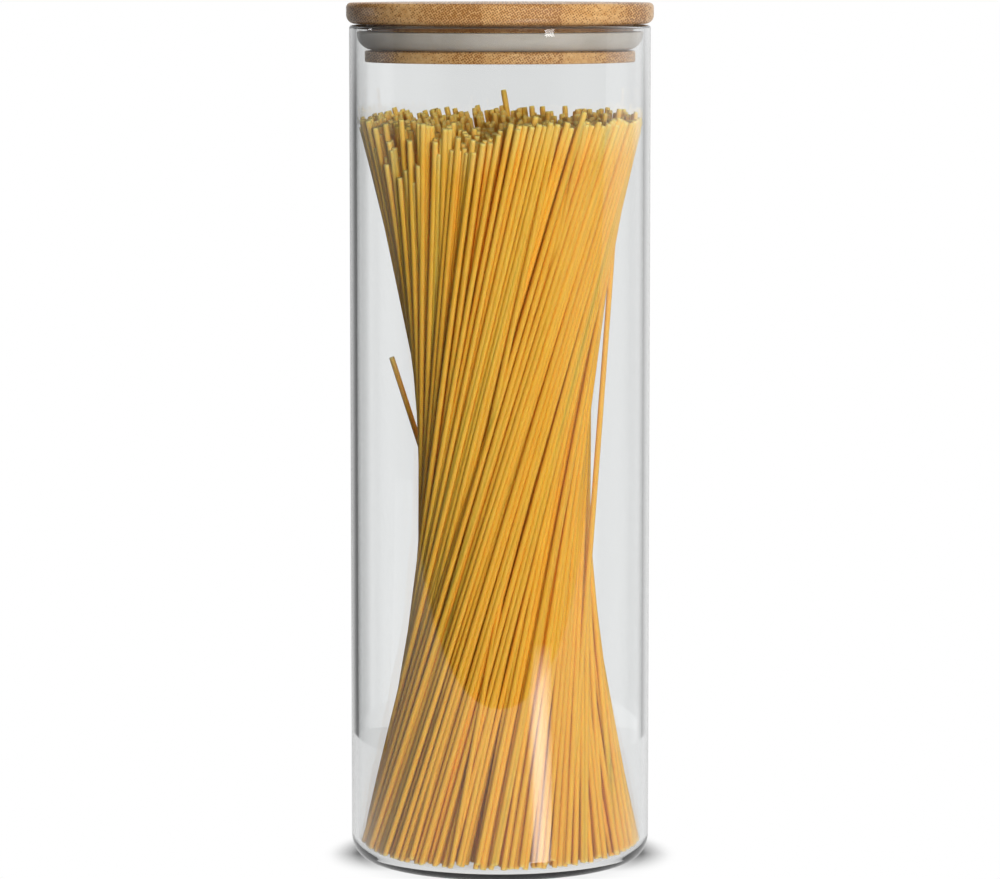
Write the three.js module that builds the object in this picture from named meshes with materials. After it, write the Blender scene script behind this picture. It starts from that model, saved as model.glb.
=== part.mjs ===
// Tall glass food canister: a borosilicate jar, a turned bamboo plug lid, its silicone seal,
// and the twisted bundle of dry spaghetti that stands in the jar.
// Millimetres, +Z up. The origin is the centre of the circle that the jar stands on.
import * as THREE from "three";

// Whole canister
const HEIGHT = 295; // surface it stands on to the top of the lid
const TOUCH_GAP = 0.3; // clearance left wherever two pieces meet
const ROUND_SEGMENTS = 60; // facets around each turned piece

// Glass jar
const JAR_RADIUS = 51.5;
const WALL = 2.3;
const FLOOR = 3;
const HEEL_WIDTH = 6; // how far the rounded foot pulls in from the wall
const HEEL_HEIGHT = 8;
const CORNER_WIDTH = 4; // rounded corner inside the foot
const CORNER_HEIGHT = 5;
const PUNT_RADIUS = 38; // shallow push-up in the underside, inside the ring that it stands on
const PUNT_RISE = 1;
const BORE_RADIUS = JAR_RADIUS - WALL;

// Bamboo lid, turned from one laminated blank. Depths are measured down from its top face.
const LID_RADIUS = 52.5;
const DISC_DEPTH = 7.2;
const TOP_EDGE = 1.7;
const LOWER_EDGE = 3;
const COLLAR_RADIUS = 45.5;
const GROOVE_RADIUS = 42;
const GROOVE_TOP_DEPTH = 9.5;
const GROOVE_BOTTOM_DEPTH = 16.3;
const FLANGE_RADIUS = 46.2;
const FLANGE_DEPTH = 20.1;
const FLANGE_EDGE = 0.5;
const JAR_HEIGHT = HEIGHT - DISC_DEPTH - TOUCH_GAP;

// Silicone seal, stretched into the lid's groove
const SEAL_INNER = GROOVE_RADIUS + TOUCH_GAP;
const SEAL_OUTER = BORE_RADIUS - TOUCH_GAP;
const SEAL_FOOT_RADIUS = 43.3; // where the bowl of the lip starts at the bottom
const SEAL_TOP = HEIGHT - GROOVE_TOP_DEPTH - TOUCH_GAP;
const SEAL_BOTTOM = HEIGHT - GROOVE_BOTTOM_DEPTH + TOUCH_GAP;
const LIP_TIP = 0.5; // rounding at the lip's edge
const LIP_WIDTH = 1.3; // flat top of the lip
const VALLEY_DEPTH = 1.4; // dished ring between the lip and the seal's body
const VALLEY_OUTER = 46;
const VALLEY_INNER = 44.6;
const SEAL_BODY_RADIUS = 44;

// Spaghetti. Each strand is straight; the twist gives the bundle its waist.
const STRAND_RADIUS = 0.9;
const STRAND_SIDES = 8;
const STRAND_COUNT = 46; // strands modelled one by one around the outside of the bundle
const STRAND_LENGTH = 261;
const LENGTH_SPREAD = 9; // broken and short strands
const BUNDLE_RADIUS = 47.6; // circle that the strands' ends stand on, to their centre lines
const WAIST_RADIUS = 29.1;
const WAIST_SHIFT = 3; // the waist leans this far towards +X
const STRAND_FOOT = 6; // height of the outer strands' lower ends, on the jar's rounded corner
const CORE_GAP = 2.6; // from the outer strands' centre lines in to the joined inner strands
const CORE_FOOT = FLOOR + TOUCH_GAP;
const CORE_TOP = 253;
const CORE_RINGS = 16;
const CORE_SEGMENTS = 40;

const material = (color, roughness, extra = {}) =>
  new THREE.MeshStandardMaterial({ color, roughness, metalness: 0, ...extra });

const clearGlass = material(0xe3ebec, 0.05, { transparent: true, opacity: 0.3 });
const bamboo = material(0xc6965a, 0.55);
const silicone = material(0xcfc8bd, 0.45);
const pasta = material(0xe0ab3c, 0.55);

// Points along a quarter, half or other stretch of an ellipse, angles in degrees from +X.
function arc(centreX, centreY, radiusX, radiusY, fromAngle, toAngle, steps) {
  const points = [];
  for (let i = 0; i <= steps; i += 1) {
    const angle = THREE.MathUtils.degToRad(fromAngle + ((toAngle - fromAngle) * i) / steps);
    points.push([centreX + radiusX * Math.cos(angle), centreY + radiusY * Math.sin(angle)]);
  }
  return points;
}

// Turns an outline of [radius, height] points about the Z axis.
function turned(outline, segments = ROUND_SEGMENTS) {
  const points = outline.map(([radius, height]) => new THREE.Vector2(radius, height));
  const geometry = new THREE.LatheGeometry(points, segments);
  geometry.rotateX(Math.PI / 2);
  return geometry;
}

function piece(name, geometry, finish) {
  const mesh = new THREE.Mesh(geometry, finish);
  mesh.name = name;
  return mesh;
}

// Underside with its shallow push-up, the standing ring, rounded heel, straight wall,
// fire-polished rim, then back down the bore to the flat floor.
function glassJar() {
  const puntSteps = 4;
  const outline = [];
  for (let i = 0; i <= puntSteps; i += 1) {
    const share = i / puntSteps;
    outline.push([PUNT_RADIUS * share, PUNT_RISE * (1 - share * share)]);
  }
  const heelCentre = JAR_RADIUS - HEEL_WIDTH;
  outline.push(...arc(heelCentre, HEEL_HEIGHT, HEEL_WIDTH, HEEL_HEIGHT, -90, 0, 8));
  const rimRadius = WALL / 2;
  outline.push(...arc(JAR_RADIUS - rimRadius, JAR_HEIGHT - rimRadius, rimRadius, rimRadius, 0, 180, 6));
  const cornerCentre = BORE_RADIUS - CORNER_WIDTH;
  outline.push(...arc(cornerCentre, FLOOR + CORNER_HEIGHT, CORNER_WIDTH, CORNER_HEIGHT, 0, -90, 5));
  outline.push([0, FLOOR]);
  return piece("glass_jar", turned(outline), clearGlass);
}

// One turned solid: flange, groove for the seal, collar and the overhanging disc.
function bambooLid() {
  const flangeBottom = HEIGHT - FLANGE_DEPTH;
  const grooveBottom = HEIGHT - GROOVE_BOTTOM_DEPTH;
  const grooveTop = HEIGHT - GROOVE_TOP_DEPTH;
  const discBottom = HEIGHT - DISC_DEPTH;
  const outline = [[0, flangeBottom]];
  const flangeCentre = FLANGE_RADIUS - FLANGE_EDGE;
  outline.push(...arc(flangeCentre, flangeBottom + FLANGE_EDGE, FLANGE_EDGE, FLANGE_EDGE, -90, 0, 2));
  outline.push(...arc(flangeCentre, grooveBottom - FLANGE_EDGE, FLANGE_EDGE, FLANGE_EDGE, 0, 90, 2));
  outline.push([GROOVE_RADIUS, grooveBottom]);
  outline.push([GROOVE_RADIUS, grooveTop]);
  outline.push([COLLAR_RADIUS, grooveTop]);
  outline.push([COLLAR_RADIUS, discBottom]);
  outline.push(...arc(LID_RADIUS - LOWER_EDGE, discBottom + LOWER_EDGE, LOWER_EDGE, LOWER_EDGE, -90, 0, 5));
  outline.push(...arc(LID_RADIUS - TOP_EDGE, HEIGHT - TOP_EDGE, TOP_EDGE, TOP_EDGE, 0, 90, 4));
  outline.push([0, HEIGHT]);
  return piece("bamboo_lid", turned(outline), bamboo);
}

// A bowl-shaped lip that reaches out to the glass, with a dished ring behind it.
function sealRing() {
  const lipBase = SEAL_TOP - LIP_TIP;
  const outline = [[SEAL_INNER, SEAL_BOTTOM]];
  const bowlWidth = SEAL_OUTER - SEAL_FOOT_RADIUS;
  outline.push(...arc(SEAL_FOOT_RADIUS, lipBase, bowlWidth, lipBase - SEAL_BOTTOM, -90, 0, 8));
  outline.push([SEAL_OUTER - LIP_TIP, SEAL_TOP]);
  outline.push([SEAL_OUTER - LIP_WIDTH, SEAL_TOP]);
  outline.push([VALLEY_OUTER, SEAL_TOP - VALLEY_DEPTH]);
  outline.push([VALLEY_INNER, SEAL_TOP - VALLEY_DEPTH]);
  outline.push([SEAL_BODY_RADIUS, SEAL_TOP]);
  outline.push([SEAL_INNER, SEAL_TOP]);
  outline.push([SEAL_INNER, SEAL_BOTTOM]);
  return piece("seal_ring", turned(outline), silicone);
}

// Distance from the bundle's middle line to a strand's centre line, at a share of its height.
function bundleRadius(share) {
  const waist = WAIST_RADIUS / BUNDLE_RADIUS;
  const squeeze = 4 * (1 - waist * waist) * share * (1 - share);
  return BUNDLE_RADIUS * Math.sqrt(1 - squeeze);
}

// How far the bundle's middle line has moved towards +X, at a share of its height.
function waistShift(share) {
  return WAIST_SHIFT * 4 * share * (1 - share);
}

// A straight strand that crosses the waist at the given angle, with its ends on the end circle.
function strand(index) {
  const crossing = (2 * Math.PI * index) / STRAND_COUNT;
  const waist = WAIST_RADIUS + WAIST_SHIFT * Math.cos(crossing);
  const halfTwist = Math.acos(waist / BUNDLE_RADIUS);
  const length = STRAND_LENGTH - LENGTH_SPREAD * THREE.MathUtils.seededRandom(index + 1);
  const reach = 2 * BUNDLE_RADIUS * Math.sin(halfTwist);
  const rise = Math.sqrt(length * length - reach * reach);
  const foot = new THREE.Vector3(
    BUNDLE_RADIUS * Math.cos(crossing - halfTwist),
    BUNDLE_RADIUS * Math.sin(crossing - halfTwist),
    STRAND_FOOT,
  );
  const tip = new THREE.Vector3(
    BUNDLE_RADIUS * Math.cos(crossing + halfTwist),
    BUNDLE_RADIUS * Math.sin(crossing + halfTwist),
    STRAND_FOOT + rise,
  );
  const geometry = new THREE.CylinderGeometry(STRAND_RADIUS, STRAND_RADIUS, length, STRAND_SIDES);
  const mesh = piece(`spaghetti_${String(index + 1).padStart(2, "0")}`, geometry, pasta);
  mesh.position.addVectors(foot, tip).multiplyScalar(0.5);
  mesh.quaternion.setFromUnitVectors(new THREE.Vector3(0, 1, 0), tip.sub(foot).normalize());
  return mesh;
}

// The inner strands, joined into one solid that follows the outer ones at a small distance.
function spaghettiCore() {
  const outline = [[0, CORE_FOOT]];
  for (let i = 0; i <= CORE_RINGS; i += 1) {
    const height = CORE_FOOT + ((CORE_TOP - CORE_FOOT) * i) / CORE_RINGS;
    outline.push([bundleRadius(i / CORE_RINGS) - CORE_GAP, height]);
  }
  outline.push([0, CORE_TOP]);
  const geometry = turned(outline, CORE_SEGMENTS);
  const vertices = geometry.attributes.position;
  for (let i = 0; i < vertices.count; i += 1) {
    const share = (vertices.getZ(i) - CORE_FOOT) / (CORE_TOP - CORE_FOOT);
    vertices.setX(i, vertices.getX(i) + waistShift(share));
  }
  return piece("spaghetti_core", geometry, pasta);
}

function spaghettiBundle() {
  const bundle = new THREE.Group();
  bundle.add(spaghettiCore());
  for (let index = 0; index < STRAND_COUNT; index += 1) {
    bundle.add(strand(index));
  }
  return bundle;
}

const canister = new THREE.Group();
canister.add(glassJar(), sealRing(), bambooLid(), spaghettiBundle());

export default canister;
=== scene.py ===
"""Glass food canister with a bamboo plug lid and a twisted bundle of spaghetti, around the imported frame.

Metres, +Z up, in the frame's own axes. Lengths named in millimetres are turned into metres with MM.
"""
import math

import bpy
import numpy as np
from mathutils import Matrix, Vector

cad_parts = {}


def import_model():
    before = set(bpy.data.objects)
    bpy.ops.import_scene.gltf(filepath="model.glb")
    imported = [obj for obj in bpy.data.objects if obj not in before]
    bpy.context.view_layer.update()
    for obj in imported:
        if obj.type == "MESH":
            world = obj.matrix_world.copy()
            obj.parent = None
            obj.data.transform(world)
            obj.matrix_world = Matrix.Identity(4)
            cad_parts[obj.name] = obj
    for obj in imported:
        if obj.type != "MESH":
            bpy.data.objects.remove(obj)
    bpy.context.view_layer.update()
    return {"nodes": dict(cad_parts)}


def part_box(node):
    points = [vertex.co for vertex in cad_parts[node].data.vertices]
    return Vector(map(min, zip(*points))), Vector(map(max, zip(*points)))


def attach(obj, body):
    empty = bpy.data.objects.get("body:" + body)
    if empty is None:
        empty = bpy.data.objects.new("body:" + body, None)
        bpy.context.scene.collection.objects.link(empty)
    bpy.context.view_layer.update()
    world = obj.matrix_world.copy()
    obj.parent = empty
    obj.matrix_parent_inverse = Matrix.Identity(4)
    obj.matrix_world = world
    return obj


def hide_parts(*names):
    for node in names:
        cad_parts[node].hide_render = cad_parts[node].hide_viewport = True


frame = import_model()
MM = 0.001
rng = np.random.default_rng(20)


# ---------------------------------------------------------------- sizes taken from the frame

_, jar_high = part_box("glass_jar")
lid_low, lid_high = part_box("bamboo_lid")
seal_low, seal_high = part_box("seal_ring")

JAR_RADIUS = jar_high.x
JAR_TOP = jar_high.z
WALL = 2.3 * MM
BORE = JAR_RADIUS - WALL
FLOOR = 3.0 * MM
HEEL = (6 * MM, 8 * MM)  # rounded foot: how far in, how far up
CORNER = (4.0 * MM, 5.0 * MM)  # rounded corner inside the foot
PUNT = (38 * MM, 1 * MM)  # shallow push-up in the underside: radius, rise

LID_RADIUS = lid_high.x
LID_TOP = lid_high.z
DISC_BOTTOM = LID_TOP - 7.2 * MM
GROOVE_TOP = LID_TOP - 9.5 * MM
GROOVE_BOTTOM = LID_TOP - 16.3 * MM
FLANGE_BOTTOM = lid_low.z
COLLAR_RADIUS = 45.5 * MM
GROOVE_RADIUS = 42 * MM
FLANGE_RADIUS = 46.2 * MM
STRIP_WIDTH = 27.0  # millimetres, of one glued strip of the lid's bamboo blank


# ---------------------------------------------------------------- mesh helpers

def arc(centre, radii, start, stop, steps):
    """Points on a stretch of an ellipse, angles in degrees."""
    angles = np.radians(np.linspace(start, stop, steps + 1))
    return [(centre[0] + radii[0] * math.cos(a), centre[1] + radii[1] * math.sin(a)) for a in angles]


def new_object(name, vertices, faces, sharp=35):
    mesh = bpy.data.meshes.new(name)
    mesh.from_pydata(vertices, [], faces)
    mesh.polygons.foreach_set("use_smooth", [True] * len(mesh.polygons))
    mesh.set_sharp_from_angle(angle=math.radians(sharp))
    piece = bpy.data.objects.new(name, mesh)
    bpy.context.scene.collection.objects.link(piece)
    return piece


def guarded(outline):
    """The outline with a point close to each end of its long straight stretches, so that smooth shading
    leaves them straight."""
    guard = 0.25 * MM
    points = [Vector(point) for point in outline]
    out = [points[0]]
    for start, end in zip(points, points[1:]):
        step = end - start
        if step.length > 5 * guard:
            out += [start + step.normalized() * guard, end - step.normalized() * guard]
        out.append(end)
    return [tuple(point) for point in out]


def turned(name, outline, segments=192):
    """A solid of revolution about Z. The outline runs counter-clockwise in (radius, height);
    it either starts and ends on the axis or closes on itself."""
    outline = guarded(outline)
    on_axis = outline[0][0] < 1e-9
    rings = outline[1:-1] if on_axis else outline
    turn = np.linspace(0, 2 * math.pi, segments, endpoint=False)
    vertices = [(r * math.cos(a), r * math.sin(a), z) for r, z in rings for a in turn]
    faces = []
    joins = range(len(rings) - 1) if on_axis else range(len(rings))
    for i in joins:
        low, high = i * segments, ((i + 1) % len(rings)) * segments
        for j in range(segments):
            k = (j + 1) % segments
            faces.append((low + j, low + k, high + k, high + j))
    if on_axis:
        first, last = len(vertices), len(vertices) + 1
        vertices += [(0, 0, outline[0][1]), (0, 0, outline[-1][1])]
        top = (len(rings) - 1) * segments
        for j in range(segments):
            k = (j + 1) % segments
            faces.append((first, k, j))
            faces.append((last, top + j, top + k))
    return new_object(name, vertices, faces)


# ---------------------------------------------------------------- material helpers

def linear(*rgb):
    """An sRGB colour given as 0 to 255, as a linear RGBA."""
    out = []
    for value in rgb:
        c = value / 255
        out.append(c / 12.92 if c <= 0.04045 else ((c + 0.055) / 1.055) ** 2.4)
    return (*out, 1.0)


class Graph:
    """A short way to add nodes to a material or a world and link them."""

    def __init__(self, owner):
        owner.use_nodes = True
        self.tree = owner.node_tree
        self.tree.nodes.clear()

    def add(self, kind, settings=None, **inputs):
        """Adds a node. An input is named with _ for a space, or as i0, i1 by its place."""
        node = self.tree.nodes.new(kind)
        for key, value in (settings or {}).items():
            setattr(node, key, value)
        for key, value in inputs.items():
            by_place = key[0] == "i" and key[1:].isdigit()
            socket = node.inputs[int(key[1:]) if by_place else key.replace("_", " ")]
            if isinstance(value, bpy.types.NodeSocket):
                self.tree.links.new(value, socket)
            else:
                socket.default_value = value
        return node

    def math(self, operation, a, b=0.0, clamp=False):
        settings = {"operation": operation, "use_clamp": clamp}
        return self.add("ShaderNodeMath", settings, i0=a, i1=b).outputs[0]

    def mix(self, factor, a, b):
        return self.add("ShaderNodeMix", {"data_type": "RGBA"}, i0=factor, i6=a, i7=b).outputs[2]

    def ramp(self, value, low, high, to_low=0.0, to_high=1.0):
        node = self.add("ShaderNodeMapRange", None, i0=value, i1=low, i2=high, i3=to_low, i4=to_high)
        return node.outputs[0]

    def scaled(self, vector, scale):
        return self.add("ShaderNodeMapping", None, Vector=vector, Scale=scale).outputs[0]

    def noise(self, vector, scale, detail=3.0, roughness=0.5):
        node = self.add(
            "ShaderNodeTexNoise", None,
            Vector=vector, Scale=scale, Detail=detail, Roughness=roughness,
        )
        return node.outputs["Fac"]

    def bump(self, height, strength, distance):
        node = self.add("ShaderNodeBump", None, Height=height, Strength=strength, Distance=distance)
        return node.outputs[0]

    def output(self, surface, kind="ShaderNodeOutputMaterial"):
        self.add(kind, None, Surface=surface)


def material(name):
    made = bpy.data.materials.new(name)
    return made, Graph(made)


# ---------------------------------------------------------------- materials

def glass_material():
    """Clear borosilicate glass. Lamp light passes straight through it, so the food inside is lit."""
    made, g = material("clear_glass")
    surface = g.add(
        "ShaderNodeBsdfPrincipled", None,
        Base_Color=linear(250, 251, 251), Roughness=0.0, IOR=1.47, Transmission_Weight=1.0,
    )
    clear = g.add("ShaderNodeBsdfTransparent", None, Color=(0.96, 0.965, 0.965, 1))
    path = g.add("ShaderNodeLightPath")
    lets_through = g.math("MAXIMUM", path.outputs["Is Shadow Ray"], path.outputs["Is Diffuse Ray"])
    both = g.add("ShaderNodeMixShader", None, i0=lets_through, i1=surface.outputs[0], i2=clear.outputs[0])
    g.output(both.outputs[0])
    return made


def bamboo_material():
    """Laminated bamboo, grain along Y: dotted fibre ends on faces across the grain, streaks along it, and
    painted shade on the neck below the disc.
    """
    made, g = material("bamboo")
    place = g.add("ShaderNodeTexCoord").outputs["Object"]
    millimetres = g.scaled(place, (1000, 1000, 1000))
    along_grain = g.scaled(place, (1000, 26, 1000))
    x, _, z = g.add("ShaderNodeSeparateXYZ", None, Vector=millimetres).outputs
    wander = g.math("MULTIPLY", g.noise(millimetres, 0.03, 1.0), 9.0)
    strip_place = g.math("MULTIPLY", g.math("ADD", g.math("ADD", x, wander), 245.0), 1 / STRIP_WIDTH)
    strip = g.math("FLOOR", strip_place)
    across = g.math("FRACT", strip_place)
    strip_tone = g.add("ShaderNodeTexWhiteNoise", {"noise_dimensions": "1D"}, W=strip).outputs["Value"]
    tilt = (0, math.radians(32), 0)
    tilted = g.add("ShaderNodeMapping", None, Vector=along_grain, Rotation=tilt).outputs[0]
    cells = g.add(
        "ShaderNodeTexVoronoi", {"voronoi_dimensions": "3D", "feature": "F1"},
        Vector=tilted, Scale=1.35, Randomness=0.35,
    ).outputs["Distance"]
    crowding = g.ramp(across, 0.0, 1.0, 0.40, 0.54)
    dots = g.ramp(g.math("SUBTRACT", cells, crowding), -0.12, 0.04, 1.0, 0.0)
    streaks = g.noise(along_grain, 0.7, 5.0, 0.6)
    broad = g.noise(g.scaled(place, (60, 12, 60)), 1.0, 2.0)

    pale = g.mix(strip_tone, linear(240, 200, 144), linear(232, 186, 124))
    ground = g.mix(g.ramp(streaks, 0.35, 0.7), pale, linear(206, 152, 90))
    dotted = g.mix(g.math("MULTIPLY", dots, 0.82), ground, linear(134, 80, 34))
    colour = g.mix(g.ramp(broad, 0.35, 0.75, 0.0, 0.3), dotted, linear(160, 106, 52))
    # Painted shade: the neck between the disc and the seal's groove is darkened, standing in for the shade
    # in that narrow slot.
    neck_middle, neck_half = (DISC_BOTTOM + GROOVE_TOP) / 2 / MM, (DISC_BOTTOM - GROOVE_TOP) / 2 / MM
    from_neck = g.math("ABSOLUTE", g.math("SUBTRACT", z, neck_middle))
    painted_neck_shade = g.ramp(from_neck, neck_half - 0.15, neck_half, 0.8, 0.0)
    colour = g.mix(painted_neck_shade, colour, linear(92, 56, 30))
    height = g.math("ADD", g.math("MULTIPLY", dots, -0.6), g.math("MULTIPLY", streaks, 0.5))
    surface = g.add(
        "ShaderNodeBsdfPrincipled", None,
        Base_Color=colour, Roughness=g.ramp(streaks, 0.3, 0.8, 0.28, 0.42), Specular_IOR_Level=0.35,
        Normal=g.bump(height, 0.22, 0.12 * MM),
    )
    g.output(surface.outputs[0])
    return made


def silicone_material():
    """Milky silicone rubber, a little see-through, with moulding haze and fine dust."""
    made, g = material("silicone")
    place = g.add("ShaderNodeTexCoord").outputs["Object"]
    haze = g.noise(place, 90.0, 4.0)
    specks = g.noise(place, 1400.0, 2.0)
    colour = g.mix(g.ramp(haze, 0.3, 0.7), linear(184, 176, 165), linear(198, 190, 180))
    surface = g.add(
        "ShaderNodeBsdfPrincipled", None,
        Base_Color=colour, Roughness=g.ramp(specks, 0.3, 0.7, 0.34, 0.5), IOR=1.42,
        Subsurface_Weight=0.35, Subsurface_Scale=1.5 * MM, Subsurface_Radius=(1.0, 0.8, 0.6),
        Normal=g.bump(specks, 0.08, 0.05 * MM),
    )
    g.output(surface.outputs[0])
    return made


def pasta_material():
    """Dried durum pasta: each strand has its own tone, fine streaks along it, paler broken ends, and
    painted light on each strand's upper end.
    """
    made, g = material("dry_pasta")
    tone = g.add("ShaderNodeAttribute", {"attribute_name": "tone"}).outputs["Fac"]
    along = g.add("ShaderNodeAttribute", {"attribute_name": "along"}).outputs["Fac"]
    tip = g.add("ShaderNodeAttribute", {"attribute_name": "tip"}).outputs["Fac"]
    place = g.add("ShaderNodeTexCoord").outputs["Object"]
    stretched = g.add(
        "ShaderNodeCombineXYZ", None,
        i0=g.math("MULTIPLY", along, 25.0), i1=g.math("MULTIPLY", tone, 400.0), i2=0.0,
    ).outputs[0]
    drift = g.noise(stretched, 1.0, 3.0)
    grain = g.noise(g.scaled(place, (1800, 1800, 260)), 1.0, 3.0, 0.6)
    flour = g.noise(place, 2600.0, 2.0)

    base = g.mix(tone, linear(240, 180, 58), linear(249, 196, 72))
    drifted = g.mix(g.ramp(drift, 0.35, 0.7, 0.0, 0.4), base, linear(234, 168, 46))
    streaked = g.mix(g.ramp(grain, 0.4, 0.75, 0.0, 0.25), drifted, linear(250, 204, 82))
    # Paler end faces, partly the colour of broken pasta and partly painted light on the tips; the upper
    # end of each strand is lightened too, as painted light.
    painted_light_upper_end = g.ramp(along, 0.95, 0.99, 0.0, 0.4)
    pale_and_painted_light_ends = g.math("ADD", g.math("MULTIPLY", tip, 0.6), painted_light_upper_end, clamp=True)
    ends = g.mix(pale_and_painted_light_ends, streaked, linear(252, 226, 136))
    dusted = g.mix(g.ramp(flour, 0.66, 0.84, 0.0, 0.2), ends, linear(250, 228, 160))
    surface = g.add(
        "ShaderNodeBsdfPrincipled", None,
        Base_Color=dusted, Roughness=g.ramp(grain, 0.3, 0.7, 0.42, 0.6), IOR=1.4,
        Specular_IOR_Level=0.35,
        Subsurface_Weight=0.7, Subsurface_Scale=0.6 * MM, Subsurface_Radius=(1.0, 1.0, 0.9),
        Normal=g.bump(grain, 0.12, 0.04 * MM),
    )
    g.output(surface.outputs[0])
    return made


# ---------------------------------------------------------------- jar, lid and seal

def glass_jar():
    outline = [(0.0, PUNT[1])]
    steps = 8
    for i in range(1, steps + 1):
        share = i / steps
        outline.append((PUNT[0] * share, PUNT[1] * (1 - share * share)))
    outline += arc((JAR_RADIUS - HEEL[0], HEEL[1]), HEEL, -90, 0, 24)
    rim = WALL / 2
    outline += arc((JAR_RADIUS - rim, JAR_TOP - rim), (rim, rim), 0, 180, 16)
    outline += arc((BORE - CORNER[0], FLOOR + CORNER[1]), CORNER, 0, -90, 16)
    outline.append((0.0, FLOOR))
    return turned("jar_body", outline, 512)


def bamboo_lid():
    edge = 0.5 * MM
    top_edge, lower_edge = 1.7 * MM, 3.0 * MM
    flange = FLANGE_RADIUS - edge
    outline = [(0.0, FLANGE_BOTTOM)]
    outline += arc((flange, FLANGE_BOTTOM + edge), (edge, edge), -90, 0, 5)
    outline += arc((flange, GROOVE_BOTTOM - edge), (edge, edge), 0, 90, 5)
    outline += [(GROOVE_RADIUS, GROOVE_BOTTOM), (GROOVE_RADIUS, GROOVE_TOP)]
    outline += [(COLLAR_RADIUS, GROOVE_TOP), (COLLAR_RADIUS, DISC_BOTTOM)]
    under = (LID_RADIUS - lower_edge, DISC_BOTTOM + lower_edge)
    outline += arc(under, (lower_edge, lower_edge), -90, 0, 12)
    over = (LID_RADIUS - top_edge, LID_TOP - top_edge)
    outline += arc(over, (top_edge, top_edge), 0, 90, 10)
    outline.append((0.0, LID_TOP))
    return turned("lid_bamboo", outline, 256)


def seal_ring():
    inner, outer = GROOVE_RADIUS + 0.3 * MM, seal_high.x
    top, bottom = seal_high.z, seal_low.z
    lip = 0.5 * MM
    foot = 43.3 * MM
    valley = top - 1.4 * MM
    outline = [(inner, bottom)]
    outline += arc((foot, top - lip), (outer - foot, top - lip - bottom), -90, 0, 24)
    outline += arc((outer - lip, top - lip), (lip, lip), 0, 90, 6)[1:]
    outline += [(outer - 1.3 * MM, top)]
    outline += arc((45.3 * MM, top), (1.7 * MM, top - valley), 0, -180, 12)[1:]
    outline += [(inner, top)]
    return turned("seal_silicone", outline, 256)


# ---------------------------------------------------------------- spaghetti

STRAND = 1.0 * MM  # radius of one strand
STRAND_BOW = 0.35 * MM  # most that a strand bends from straight
SPACING = 1.9 * MM  # centre lines closer than this are pushed apart
LATTICE = 2.06 * MM  # spacing of the strands across the waist before they are pushed apart
WAIST = 28.0 * MM  # from the bundle's middle to the outermost centre lines, where it is narrowest
WAIST_SHIFT = 1.8 * MM  # towards +X
END_RADIUS = 48.1 * MM
END_CROWDING = 0.36  # below 1, strands gather against the glass at their ends
LOW, HIGH = 4 * MM, 252 * MM  # the levels of a strand's two end points while it is placed
CLUSTER = 14  # strands that cling together
CLINGING = (0.2, 0.5)  # at the lower and upper ends: 0 is an even fan, 1 is parallel strands
ROUNDS, QUICK_ROUNDS = 110, 30  # of pushing strands apart
LOOSE_STRANDS = (  # plan position at LOW and at HIGH, and the height of the tip
    ((22 * MM, -37 * MM), (42.5 * MM, 17 * MM), 254 * MM),
    ((15.3 * MM, 36 * MM), (-63 * MM, 0.5 * MM), 172.5 * MM),
)


def waist_points():
    """A jittered triangular lattice that fills the bundle's waist."""
    rows = int(WAIST / LATTICE * 1.3)
    points = []
    for i in range(-rows, rows + 1):
        for j in range(-rows, rows + 1):
            spot = np.array([i + 0.5 * (j % 2), j * math.sqrt(0.75)]) * LATTICE
            if math.hypot(*spot) <= WAIST:
                points.append(spot + rng.normal(0, 0.16 * MM, 2))
    return np.array(points)


def close_pairs(points, reach):
    gap = points[:, None, :] - points[None, :, :]
    return np.nonzero(np.triu((gap ** 2).sum(2) < reach ** 2, 1))


def profile(share):
    """The middle of the bundle and its radius, in plan, at a share of its height."""
    off_waist = (2 * share - 1) ** 2
    radius = math.sqrt(WAIST ** 2 + (END_RADIUS ** 2 - WAIST ** 2) * off_waist)
    return np.array([WAIST_SHIFT * (1 - off_waist), 0]), radius


def clusters(points):
    """For each point, the one that its cluster gathers about. A cluster is wide round the bundle, and
    thin."""
    seeds = rng.choice(len(points), len(points) // CLUSTER, replace=False)
    outward = points[seeds] / np.hypot(*points[seeds].T)[:, None]
    away = points[:, None, :] - points[None, seeds, :]
    depth = (away * outward[None, :, :]).sum(2)
    return seeds[((away ** 2).sum(2) + 1.5 * depth ** 2).argmin(1)]


def chord(middle, heading, distance):
    """Where a line through middle, along heading, is at a distance from the axis, behind and ahead."""
    forward = (middle * heading).sum(1)
    half = np.sqrt(np.clip(forward ** 2 + distance ** 2 - (middle ** 2).sum(1), 0, None))
    return middle - (forward + half)[:, None] * heading, middle + (half - forward)[:, None] * heading


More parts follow.
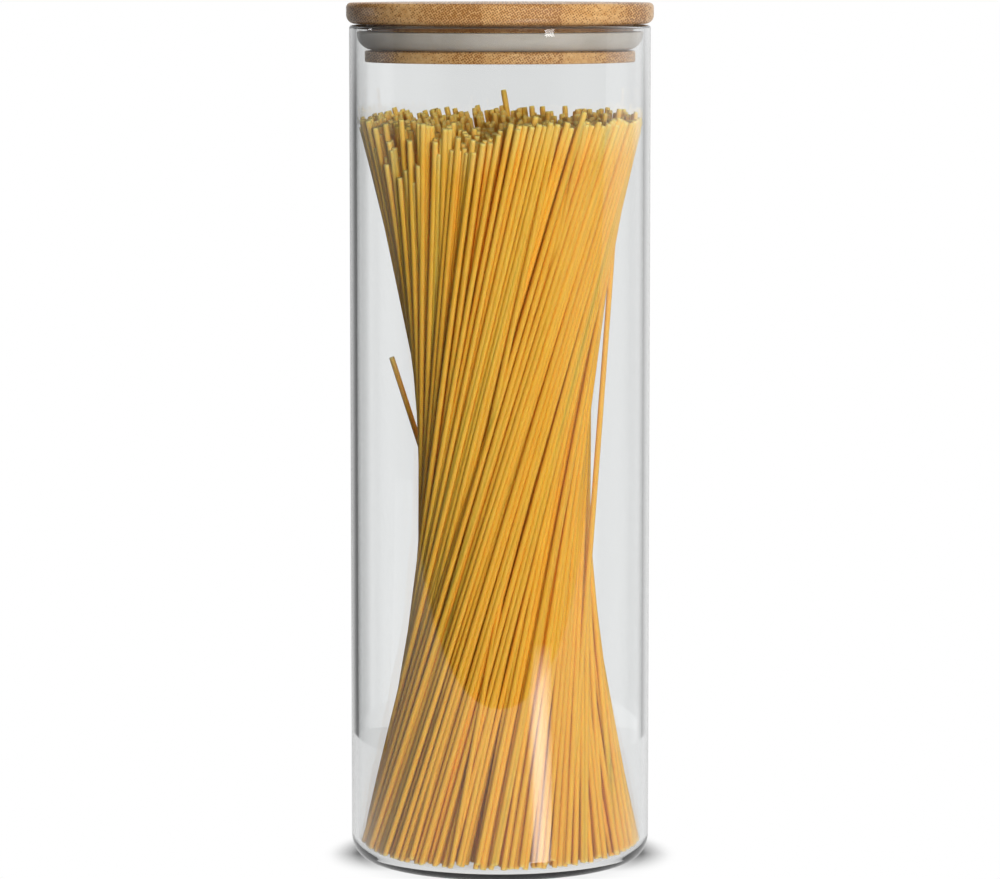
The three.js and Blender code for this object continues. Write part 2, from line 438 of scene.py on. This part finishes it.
def twisted_bundle():
    """Lower and upper ends, in plan, of straight strands, and a tone for each.

    The bundle starts as one twist, in clusters of strands that run nearly side by side. Then, level by
    level, strands that come too close are pushed apart, and all are kept inside the bundle's profile,
    but for the loose strands, which stay where they are. Last comes a random shift of each end, after
    which nothing is pushed apart. Nearly every strand then runs into another somewhere, most by more
    than half of their thickness, which passes for strands that half hide each other."""
    waist = waist_points()
    count = len(waist)
    cluster = clusters(waist)
    middle = waist + [WAIST_SHIFT, 0]
    from_middle = np.hypot(*waist.T)
    heading = np.stack([-waist[:, 1], waist[:, 0]], 1) / from_middle[:, None]
    lower, upper = chord(middle, heading, END_RADIUS * (from_middle / WAIST) ** END_CROWDING)
    spread = 1 + rng.normal(0, 0.07, count)[cluster] + rng.normal(0, 0.02, count)
    for ends, clinging in zip((lower, upper), CLINGING):
        offset = (ends - middle) * spread[:, None]
        shared = clinging * (offset[cluster] - offset)
        scatter = rng.normal(0, 1.5 * MM, (count, 2))[cluster] + rng.normal(0, 1.1 * MM, (count, 2))
        ends[:] = middle + offset + shared + scatter
    tones = rng.normal(0.5, 0.22, count)[cluster] + rng.normal(0, 0.12, count)
    fixed = len(LOOSE_STRANDS)
    lower = np.vstack([[low for low, _, _ in LOOSE_STRANDS], lower])
    upper = np.vstack([[high for _, high, _ in LOOSE_STRANDS], upper])
    held = (lower[:fixed].copy(), upper[:fixed].copy())
    levels = [0.0, 0.1, 0.2, 0.3, 0.38, 0.46, 0.54, 0.62, 0.7, 0.8, 0.9, 1.0]
    rounds = ROUNDS
    pairs = {}
    for turn in range(rounds):
        for share in levels:
            at = (1 - share) * lower + share * upper
            if turn % 6 == 0:
                pairs[share] = close_pairs(at, SPACING * 1.5)
            first, second = pairs[share]
            gap = at[first] - at[second]
            apart = np.hypot(*gap.T) + 1e-9
            push = (np.clip(SPACING - apart, 0, None) / apart * 0.42)[:, None] * gap
            move = np.zeros_like(at)
            for axis in (0, 1):
                move[:, axis] = np.bincount(first, push[:, axis], len(at))
                move[:, axis] -= np.bincount(second, push[:, axis], len(at))
            centre, limit = profile(share)
            away = at + move - centre
            outside = np.clip(1 - limit / np.maximum(np.hypot(*away.T), 1e-9), 0, None)
            move -= away * outside[:, None] * 0.6
            weight = (1 - share) ** 2 + share ** 2
            lower += move * (1 - share) / weight
            upper += move * share / weight
        lower[:fixed], upper[:fixed] = held
    for ends in (lower[fixed:], upper[fixed:]):
        ends += rng.normal(0, 0.75 * MM, ends.shape)
        radius = np.maximum(np.hypot(*ends.T), 1e-9)
        ends *= np.minimum(1.0, END_RADIUS / radius)[:, None]
    return lower, upper, np.clip(np.concatenate([[0.5] * fixed, tones]), 0, 1)


def foot_height(radius):
    """Height of the glass under a strand's lower end: the flat floor, then the rounded corner."""
    over = np.clip((radius + STRAND * 0.6 - (BORE - CORNER[0])) / CORNER[0], 0, 0.97)
    return FLOOR + CORNER[1] * (1 - np.sqrt(1 - over ** 2)) + 0.25 * MM


def tip_heights(upper):
    """Height of each strand's tip. At the front left many strands are short."""
    count = len(upper)
    azimuth = np.degrees(np.arctan2(upper[:, 1], upper[:, 0]))
    outward = np.clip(np.hypot(*upper.T) / END_RADIUS, 0, 1) ** 4
    height = (252.5 + 2.6 * outward) * MM + rng.normal(0, 0.8 * MM, count)
    height += outward * np.clip(upper[:, 1] / END_RADIUS, 0, 1) * 3.4 * MM
    middle_front = np.exp(-((azimuth + 99) / 9) ** 2) * outward
    front_left = np.exp(-((azimuth + 134) / 26) ** 2) * outward * (rng.random(count) < 0.55)
    height -= middle_front * 7 * MM + front_left * rng.uniform(5 * MM, 19 * MM, count)
    height -= (rng.random(count) < 0.05) * rng.uniform(1 * MM, 7 * MM, count)
    height += (rng.random(count) < 0.012) * rng.uniform(2 * MM, 4.5 * MM, count)
    for i, (_, _, tip) in enumerate(LOOSE_STRANDS):
        height[i] = tip
    return height


def strand_ends():
    """Both end points of every strand, in 3-D, and its tone."""
    lower, upper, tones = twisted_bundle()
    count = len(lower)
    foot = foot_height(np.hypot(*lower.T)) + (rng.random(count) < 0.1) * rng.uniform(0, 1.2 * MM, count)
    tip = tip_heights(upper)
    slope = (upper - lower) / (HIGH - LOW)
    start = np.column_stack([lower + slope * (foot - LOW)[:, None], foot])
    end = np.column_stack([lower + slope * (tip - LOW)[:, None], tip])
    wall = BORE - STRAND - 0.12 * MM
    for point in (start, end):
        point[:, :2] /= np.maximum(np.hypot(point[:, 0], point[:, 1]) / wall, 1.0)[:, None]
    return start, end, tones


def strand_mesh(name, starts, ends, tones, sides=10, rings=9):
    """One mesh of many closed rods, each with a slight bow. Its points store tone, along and tip."""
    vertices, faces, tone, along, tip = [], [], [], [], []
    turn = np.linspace(0, 2 * math.pi, sides, endpoint=False)
    shares = np.concatenate([[0, 0.004], np.linspace(0, 1, rings)[1:-1], [0.996, 1]])
    for start, end, strand_tone in zip(starts, ends, tones):
        axis = end - start
        axis /= np.linalg.norm(axis)
        side = np.cross(axis, [0, 1, 0])
        side /= np.linalg.norm(side)
        other = np.cross(axis, side)
        bow_angle = rng.uniform(0, 2 * math.pi)
        bow = rng.uniform(0, STRAND_BOW) * (math.cos(bow_angle) * side + math.sin(bow_angle) * other)
        thickness = STRAND * rng.uniform(0.96, 1.03)
        first = len(vertices)
        for i, share in enumerate(shares):
            centre = start + (end - start) * share + bow * 4 * share * (1 - share)
            rim = thickness * (0.9 if i in (0, len(shares) - 1) else 1.0)
            for a in turn:
                vertices.append(tuple(centre + rim * (math.cos(a) * side + math.sin(a) * other)))
            tone += [strand_tone] * sides
            along += [share] * sides
            tip += [1.0 if share < 0.001 or share > 0.999 else 0.0] * sides
        for i in range(len(shares) - 1):
            for j in range(sides):
                k = (j + 1) % sides
                low, high = first + i * sides, first + (i + 1) * sides
                faces.append((low + k, low + j, high + j, high + k))
        faces.append(tuple(first + j for j in range(sides)))
        top = first + (len(shares) - 1) * sides
        faces.append(tuple(top + j for j in reversed(range(sides))))
    piece = new_object(name, vertices, faces, sharp=50)
    for label, values in (("tone", tone), ("along", along), ("tip", tip)):
        piece.data.attributes.new(label, "FLOAT", "POINT").data.foreach_set("value", values)
    return piece


def spaghetti(pasta):
    starts, ends, tones = strand_ends()
    middle = (starts + ends) / 2 - [WAIST_SHIFT, 0, 0]
    depth = np.hypot(middle[:, 0], middle[:, 1])
    outer = depth > WAIST * 0.82
    azimuth = np.arctan2(middle[:, 1], middle[:, 0])
    nodes = sorted(n for n in frame["nodes"] if n.startswith("spaghetti_") and n != "spaghetti_core")
    sector_names = ("right", "back", "left", "front")
    for i, sector in enumerate(sector_names):
        turned_to = (azimuth - math.radians(-45 + 90 * i)) % (2 * math.pi)
        chosen = outer & (turned_to < math.pi / 2)
        piece = strand_mesh(f"spaghetti_outer_{sector}", starts[chosen], ends[chosen], tones[chosen])
        share = nodes[i * len(nodes) // 4:(i + 1) * len(nodes) // 4]
        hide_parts(*share)
        finish_piece(piece, pasta, "spaghetti")
    inner = strand_mesh("spaghetti_inner", starts[~outer], ends[~outer], tones[~outer], sides=8, rings=4)
    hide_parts("spaghetti_core")
    finish_piece(inner, pasta, "spaghetti")
    print("strands:", len(starts))


def finish_piece(piece, finish, body):
    piece.data.materials.append(finish)
    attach(piece, body)
    return piece


# ---------------------------------------------------------------- stage, light and camera

FLOOR_LEVEL = -0.2 * MM
SHADOW_REACH = 13 * MM  # of the painted soft shadow where the object stands
NEAR_FLOOR = 0.264  # radius within which the floor shows through the glass
TABLE_EDGE = -0.4  # y in front of which the floor is dark in reflections
MIRRORED_TABLE = 0.78  # its brightness in reflections
DARK_TABLE = 0.01  # and past its edge


def near_floor_radius(angle):
    """Where the near part of the floor ends: a circle behind the object, the table's edge in front."""
    return min(TABLE_EDGE / math.sin(angle), 1.2) if math.sin(angle) < 0 else NEAR_FLOOR


def floor(name, shares, through_glass):
    """A pale ring or disc: each ring is at a share of the near part's radius, or past 1 at a radius in
    metres. It is white, with a painted soft shadow where the object stands. Through the glass, in
    its reflections and as fill light it is dimmer, darker on the left as painted shade, and most of its
    fill comes from the right."""
    sides = 96
    turn = np.linspace(0, 2 * math.pi, sides, endpoint=False) + 0.01
    vertices = []
    for share in shares:
        for a in turn:
            radius = share * near_floor_radius(a) if share <= 1 else share
            vertices.append((radius * math.cos(a), radius * math.sin(a), FLOOR_LEVEL))
    faces = []
    for i in range(len(shares) - 1):
        for j in range(sides):
            k = (j + 1) % sides
            faces.append((i * sides + j, (i + 1) * sides + j, (i + 1) * sides + k, i * sides + k))
    if through_glass:
        faces.append(tuple(range(sides)))
    ground = new_object(name, vertices, faces)
    made, g = material(name)
    place = g.add("ShaderNodeTexCoord").outputs["Object"]
    x, y, _ = g.add("ShaderNodeSeparateXYZ", None, Vector=place).outputs
    # Painted shadow: the floor darkens where the object closes off the open sky, less so in front.
    open_sky = g.add("ShaderNodeAmbientOcclusion", {"samples": 12}, Distance=SHADOW_REACH).outputs["AO"]
    painted_shadow_depth = g.ramp(open_sky, 0.4, 0.88, 0.85, 0.0)
    shade = g.math("MULTIPLY", painted_shadow_depth, g.ramp(y, -0.03, 0.0, 0.12, 1.0))
    white = g.math("SUBTRACT", 1.0, shade)
    path = g.add("ShaderNodeLightPath")
    # Painted light and reflection: in reflections the floor is darker on the left and past the table's
    # edge, through the glass it is darker on the left, and as fill it glows mostly on the right.
    in_shade = g.ramp(x, -0.25, -0.05, 0.45, MIRRORED_TABLE)
    mirrored = g.math("MULTIPLY", in_shade, g.ramp(y, TABLE_EDGE - 2 * MM, TABLE_EDGE, 0.01, 1.0))
    level = g.mix(path.outputs["Is Glossy Ray"], white, mirrored)
    level = g.mix(path.outputs["Is Transmission Ray"], level, g.ramp(x, -0.05, 0.05, 0.74, 0.82))
    level = g.mix(path.outputs["Is Diffuse Ray"], level, g.ramp(x, -0.1, 0.2, 0.0, 0.6))
    g.output(g.add("ShaderNodeEmission", None, Color=level, Strength=1.0).outputs[0])
    made.cycles.emission_sampling = "NONE"
    ground.data.materials.append(made)
    ground.visible_transmission = through_glass
    return ground


def area_light(name, place, aim, width, height, power):
    """A soft light that lights surfaces but isn't seen, in the glass or otherwise."""
    lamp = bpy.data.lights.new(name, "AREA")
    lamp.shape = "RECTANGLE"
    lamp.size, lamp.size_y = width, height
    lamp.energy = power
    holder = bpy.data.objects.new(name, lamp)
    holder.location = place
    holder.rotation_mode = "QUATERNION"
    holder.rotation_quaternion = (Vector(aim) - Vector(place)).to_track_quat("-Z", "Y")
    holder.visible_camera = False
    holder.visible_glossy = False
    holder.visible_transmission = False
    bpy.context.scene.collection.objects.link(holder)


def world():
    """White behind the object. What shows through the glass is pale grey, with a dark band to either side
    of each view, which draws the glass's edges. What it reflects is bright behind and to the right, and
    dark in front."""
    sky = bpy.data.worlds.new("studio")
    bpy.context.scene.world = sky
    g = Graph(sky)
    path = g.add("ShaderNodeLightPath")
    direction = g.add("ShaderNodeTexCoord").outputs["Generated"]
    split = g.add("ShaderNodeSeparateXYZ", None, Vector=direction)
    x, y, z = split.outputs
    turn = g.math("DEGREES", g.math("ARCTAN2", x, y))
    within = g.math("MODULO", g.math("ADD", turn, 405.0), 90.0)
    quarter = g.math("ABSOLUTE", g.math("SUBTRACT", within, 45.0))
    start = g.ramp(x, -0.4, 0.4, 6.0, 13.0)
    falling = g.math("DIVIDE", g.math("SUBTRACT", quarter, start), 20.0, clamp=True)
    rising = g.ramp(quarter, 33.0, 44.0)
    band = g.math("MULTIPLY", falling, g.math("SUBTRACT", 1.0, rising))
    band = g.math("MULTIPLY", band, g.ramp(z, -0.035, -0.005, 1.0, 0.3))
    band = g.math("MULTIPLY", band, g.ramp(z, -0.34, -0.22, 0.2, 1.0))
    depth = g.ramp(x, -0.4, 0.4, 0.93, 0.72)
    pale = g.ramp(x, -0.3, 0.3, 0.83, 0.92)
    behind_glass = g.math("MULTIPLY", pale, g.math("SUBTRACT", 1.0, g.math("MULTIPLY", band, depth)))

    on_right = g.ramp(x, -0.1, 0.1)
    back = g.mix(on_right, g.ramp(y, 0.72, 0.92), g.ramp(y, -0.1, 0.5))
    front = g.ramp(x, -0.2, 0.9, 0.01, 0.08)
    sides = g.math("ADD", g.ramp(x, 0.6, 0.95, 0.0, 0.7), g.ramp(x, -0.95, -0.6, 0.2, 0.0))
    lifted = g.math("ADD", sides, g.ramp(z, 0.06, 0.3, 0.0, 0.5))
    inside = g.math("ADD", g.math("MULTIPLY", back, behind_glass), g.math("ADD", front, lifted))
    outside = g.math("ADD", g.math("MULTIPLY", back, g.ramp(x, -0.25, -0.05, 0.45, 0.97)), front)
    first_surface = g.math("LESS_THAN", path.outputs["Transmission Depth"], 0.5)
    mirrored = g.mix(first_surface, inside, outside)
    towards_fill = g.math("SUBTRACT", g.math("MULTIPLY", x, 0.5), g.math("MULTIPLY", y, 0.87))
    fill = g.math("ADD", g.ramp(x, -1.0, 1.0, 0.0, 0.02), g.ramp(towards_fill, 0.3, 1.0, 0.0, 0.17))
    ambient = g.mix(fill, (0, 0, 0, 1), (1.0, 0.86, 0.68, 1))

    bounced = g.math("MINIMUM", path.outputs["Glossy Depth"], 1.0)
    diffused = g.math("ADD", path.outputs["Diffuse Depth"], path.outputs["Is Diffuse Ray"], clamp=True)
    see_through = g.math("MULTIPLY", path.outputs["Is Transmission Ray"], g.math("SUBTRACT", 1.0, bounced))
    level = g.mix(bounced, ambient, mirrored)
    level = g.mix(diffused, level, ambient)
    level = g.mix(see_through, level, behind_glass)
    level = g.mix(path.outputs["Is Camera Ray"], level, (1, 1, 1, 1))
    background = g.add("ShaderNodeBackground", None, Color=level, Strength=1.0)
    g.output(background.outputs[0], "ShaderNodeOutputWorld")


def camera():
    distance, height = 1.494, 0.306
    aim = Vector((0, 0, LID_TOP / 2 - 2.5 * MM))
    lens = bpy.data.cameras.new("camera")
    lens.lens = 156.84
    lens.sensor_width = 36
    lens.clip_start, lens.clip_end = 0.05, 50
    holder = bpy.data.objects.new("camera", lens)
    holder.location = (0, -distance, height)
    holder.rotation_mode = "QUATERNION"
    holder.rotation_quaternion = (aim - holder.location).to_track_quat("-Z", "Y")
    bpy.context.scene.collection.objects.link(holder)
    bpy.context.scene.camera = holder


def around(azimuth, distance, height):
    """A place seen from the jar: azimuth in degrees to the right of the camera."""
    angle = math.radians(azimuth)
    return Vector((distance * math.sin(angle), -distance * math.cos(angle), height))


def only_reflections_see(card):
    card.visible_camera = False
    card.visible_diffuse = False
    card.visible_transmission = False
    card.visible_shadow = False


def softbox(name, azimuth, distance, bottom, top, width, strength):
    """An upright glowing card that only reflections see, turned towards the jar."""
    place = around(azimuth, distance, (bottom + top) / 2)
    bpy.ops.mesh.primitive_plane_add(size=1)
    card = bpy.context.object
    card.name = name
    card.scale = (width, top - bottom, 1)
    card.location = place
    card.rotation_mode = "QUATERNION"
    card.rotation_quaternion = Vector((-place.x, -place.y, 0)).to_track_quat("Z", "Y")
    made, g = material(name)
    g.output(g.add("ShaderNodeEmission", None, Strength=strength).outputs[0])
    card.data.materials.append(made)
    only_reflections_see(card)


def painted_highlight_wedge():
    """A glowing wedge just above the table that only reflections see: a painted highlight, which the front
    of the glass shows as a soft upright highlight.
    """
    # each column's place round the jar, in degrees, and its glow
    columns = ((10.6, 0.0), (13.0, 0.75), (15.1, 1.0), (17.2, 0.75), (20.2, 0.0))
    vertices, glow = [], []
    for degrees, amount in columns:
        face, leaving = math.radians(degrees), math.radians(2 * degrees)
        edge = (-TABLE_EDGE - JAR_RADIUS * math.cos(face)) / math.cos(leaving)
        # distance from the jar and share of the glow
        rows = ((0.015, 1.0), (0.3, 1.0), (edge, 0.7), (edge + 1 * MM, 0.7), (0.52, 0.0))
        for reach, share in rows:
            x = JAR_RADIUS * math.sin(face) + reach * math.sin(leaving)
            y = -JAR_RADIUS * math.cos(face) - reach * math.cos(leaving)
            vertices.append((x, y, 0.8 * MM))
            table = MIRRORED_TABLE if reach <= edge else DARK_TABLE
            glow.append(table + 10 * amount * share)
    faces = []
    for i in range(len(columns) - 1):
        for j in range(i * len(rows), (i + 1) * len(rows) - 1):
            faces.append((j, j + len(rows), j + len(rows) + 1, j + 1))
    card = new_object("stage_strip", vertices, faces)
    card.data.attributes.new("glow", "FLOAT", "POINT").data.foreach_set("value", glow)
    made, g = material("stage_strip")
    amount = g.add("ShaderNodeAttribute", {"attribute_name": "glow"}).outputs["Fac"]
    g.output(g.add("ShaderNodeEmission", None, Strength=amount).outputs[0])
    card.data.materials.append(made)
    only_reflections_see(card)


def stage():
    world()
    floor("stage_floor_near", (0.02, 0.1, 0.4, 1.0), True)
    floor("stage_floor_far", (1.0, 2.0, 60.0), False)
    area_light("key_right", around(22, 1.65, 0.38), (0, 0, 0.13), 0.9, 0.5, 13)
    area_light("key_low", around(12, 1.65, 0.28), (0, 0, 0.08), 0.8, 0.24, 10)
    area_light("back", around(202, 1.65, 0.45), (0, 0, 0.13), 0.8, 0.7, 14)
    area_light("top", (0.1, -0.1, 1.6), (0, 0, 0.2), 0.8, 0.8, 8)
    softbox("highlight_right", 37, 1.5, 0.262, 0.7, 0.19, 10.0)
    softbox("highlight_left", -115, 1.5, 0.27, 0.42, 0.12, 12.0)
    painted_highlight_wedge()


# ---------------------------------------------------------------- the whole scene

camera()
stage()
finish_piece(glass_jar(), glass_material(), "jar")
finish_piece(bamboo_lid(), bamboo_material(), "lid")
finish_piece(seal_ring(), silicone_material(), "seal")
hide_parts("glass_jar")
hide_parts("bamboo_lid")
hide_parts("seal_ring")
spaghetti(pasta_material())

scene = bpy.context.scene
scene.view_settings.view_transform = "Standard"
scene.cycles.max_bounces = 16
scene.cycles.diffuse_bounces = 7
scene.cycles.transmission_bounces = 12
scene.cycles.transparent_max_bounces = 16
scene.cycles.use_denoising = True
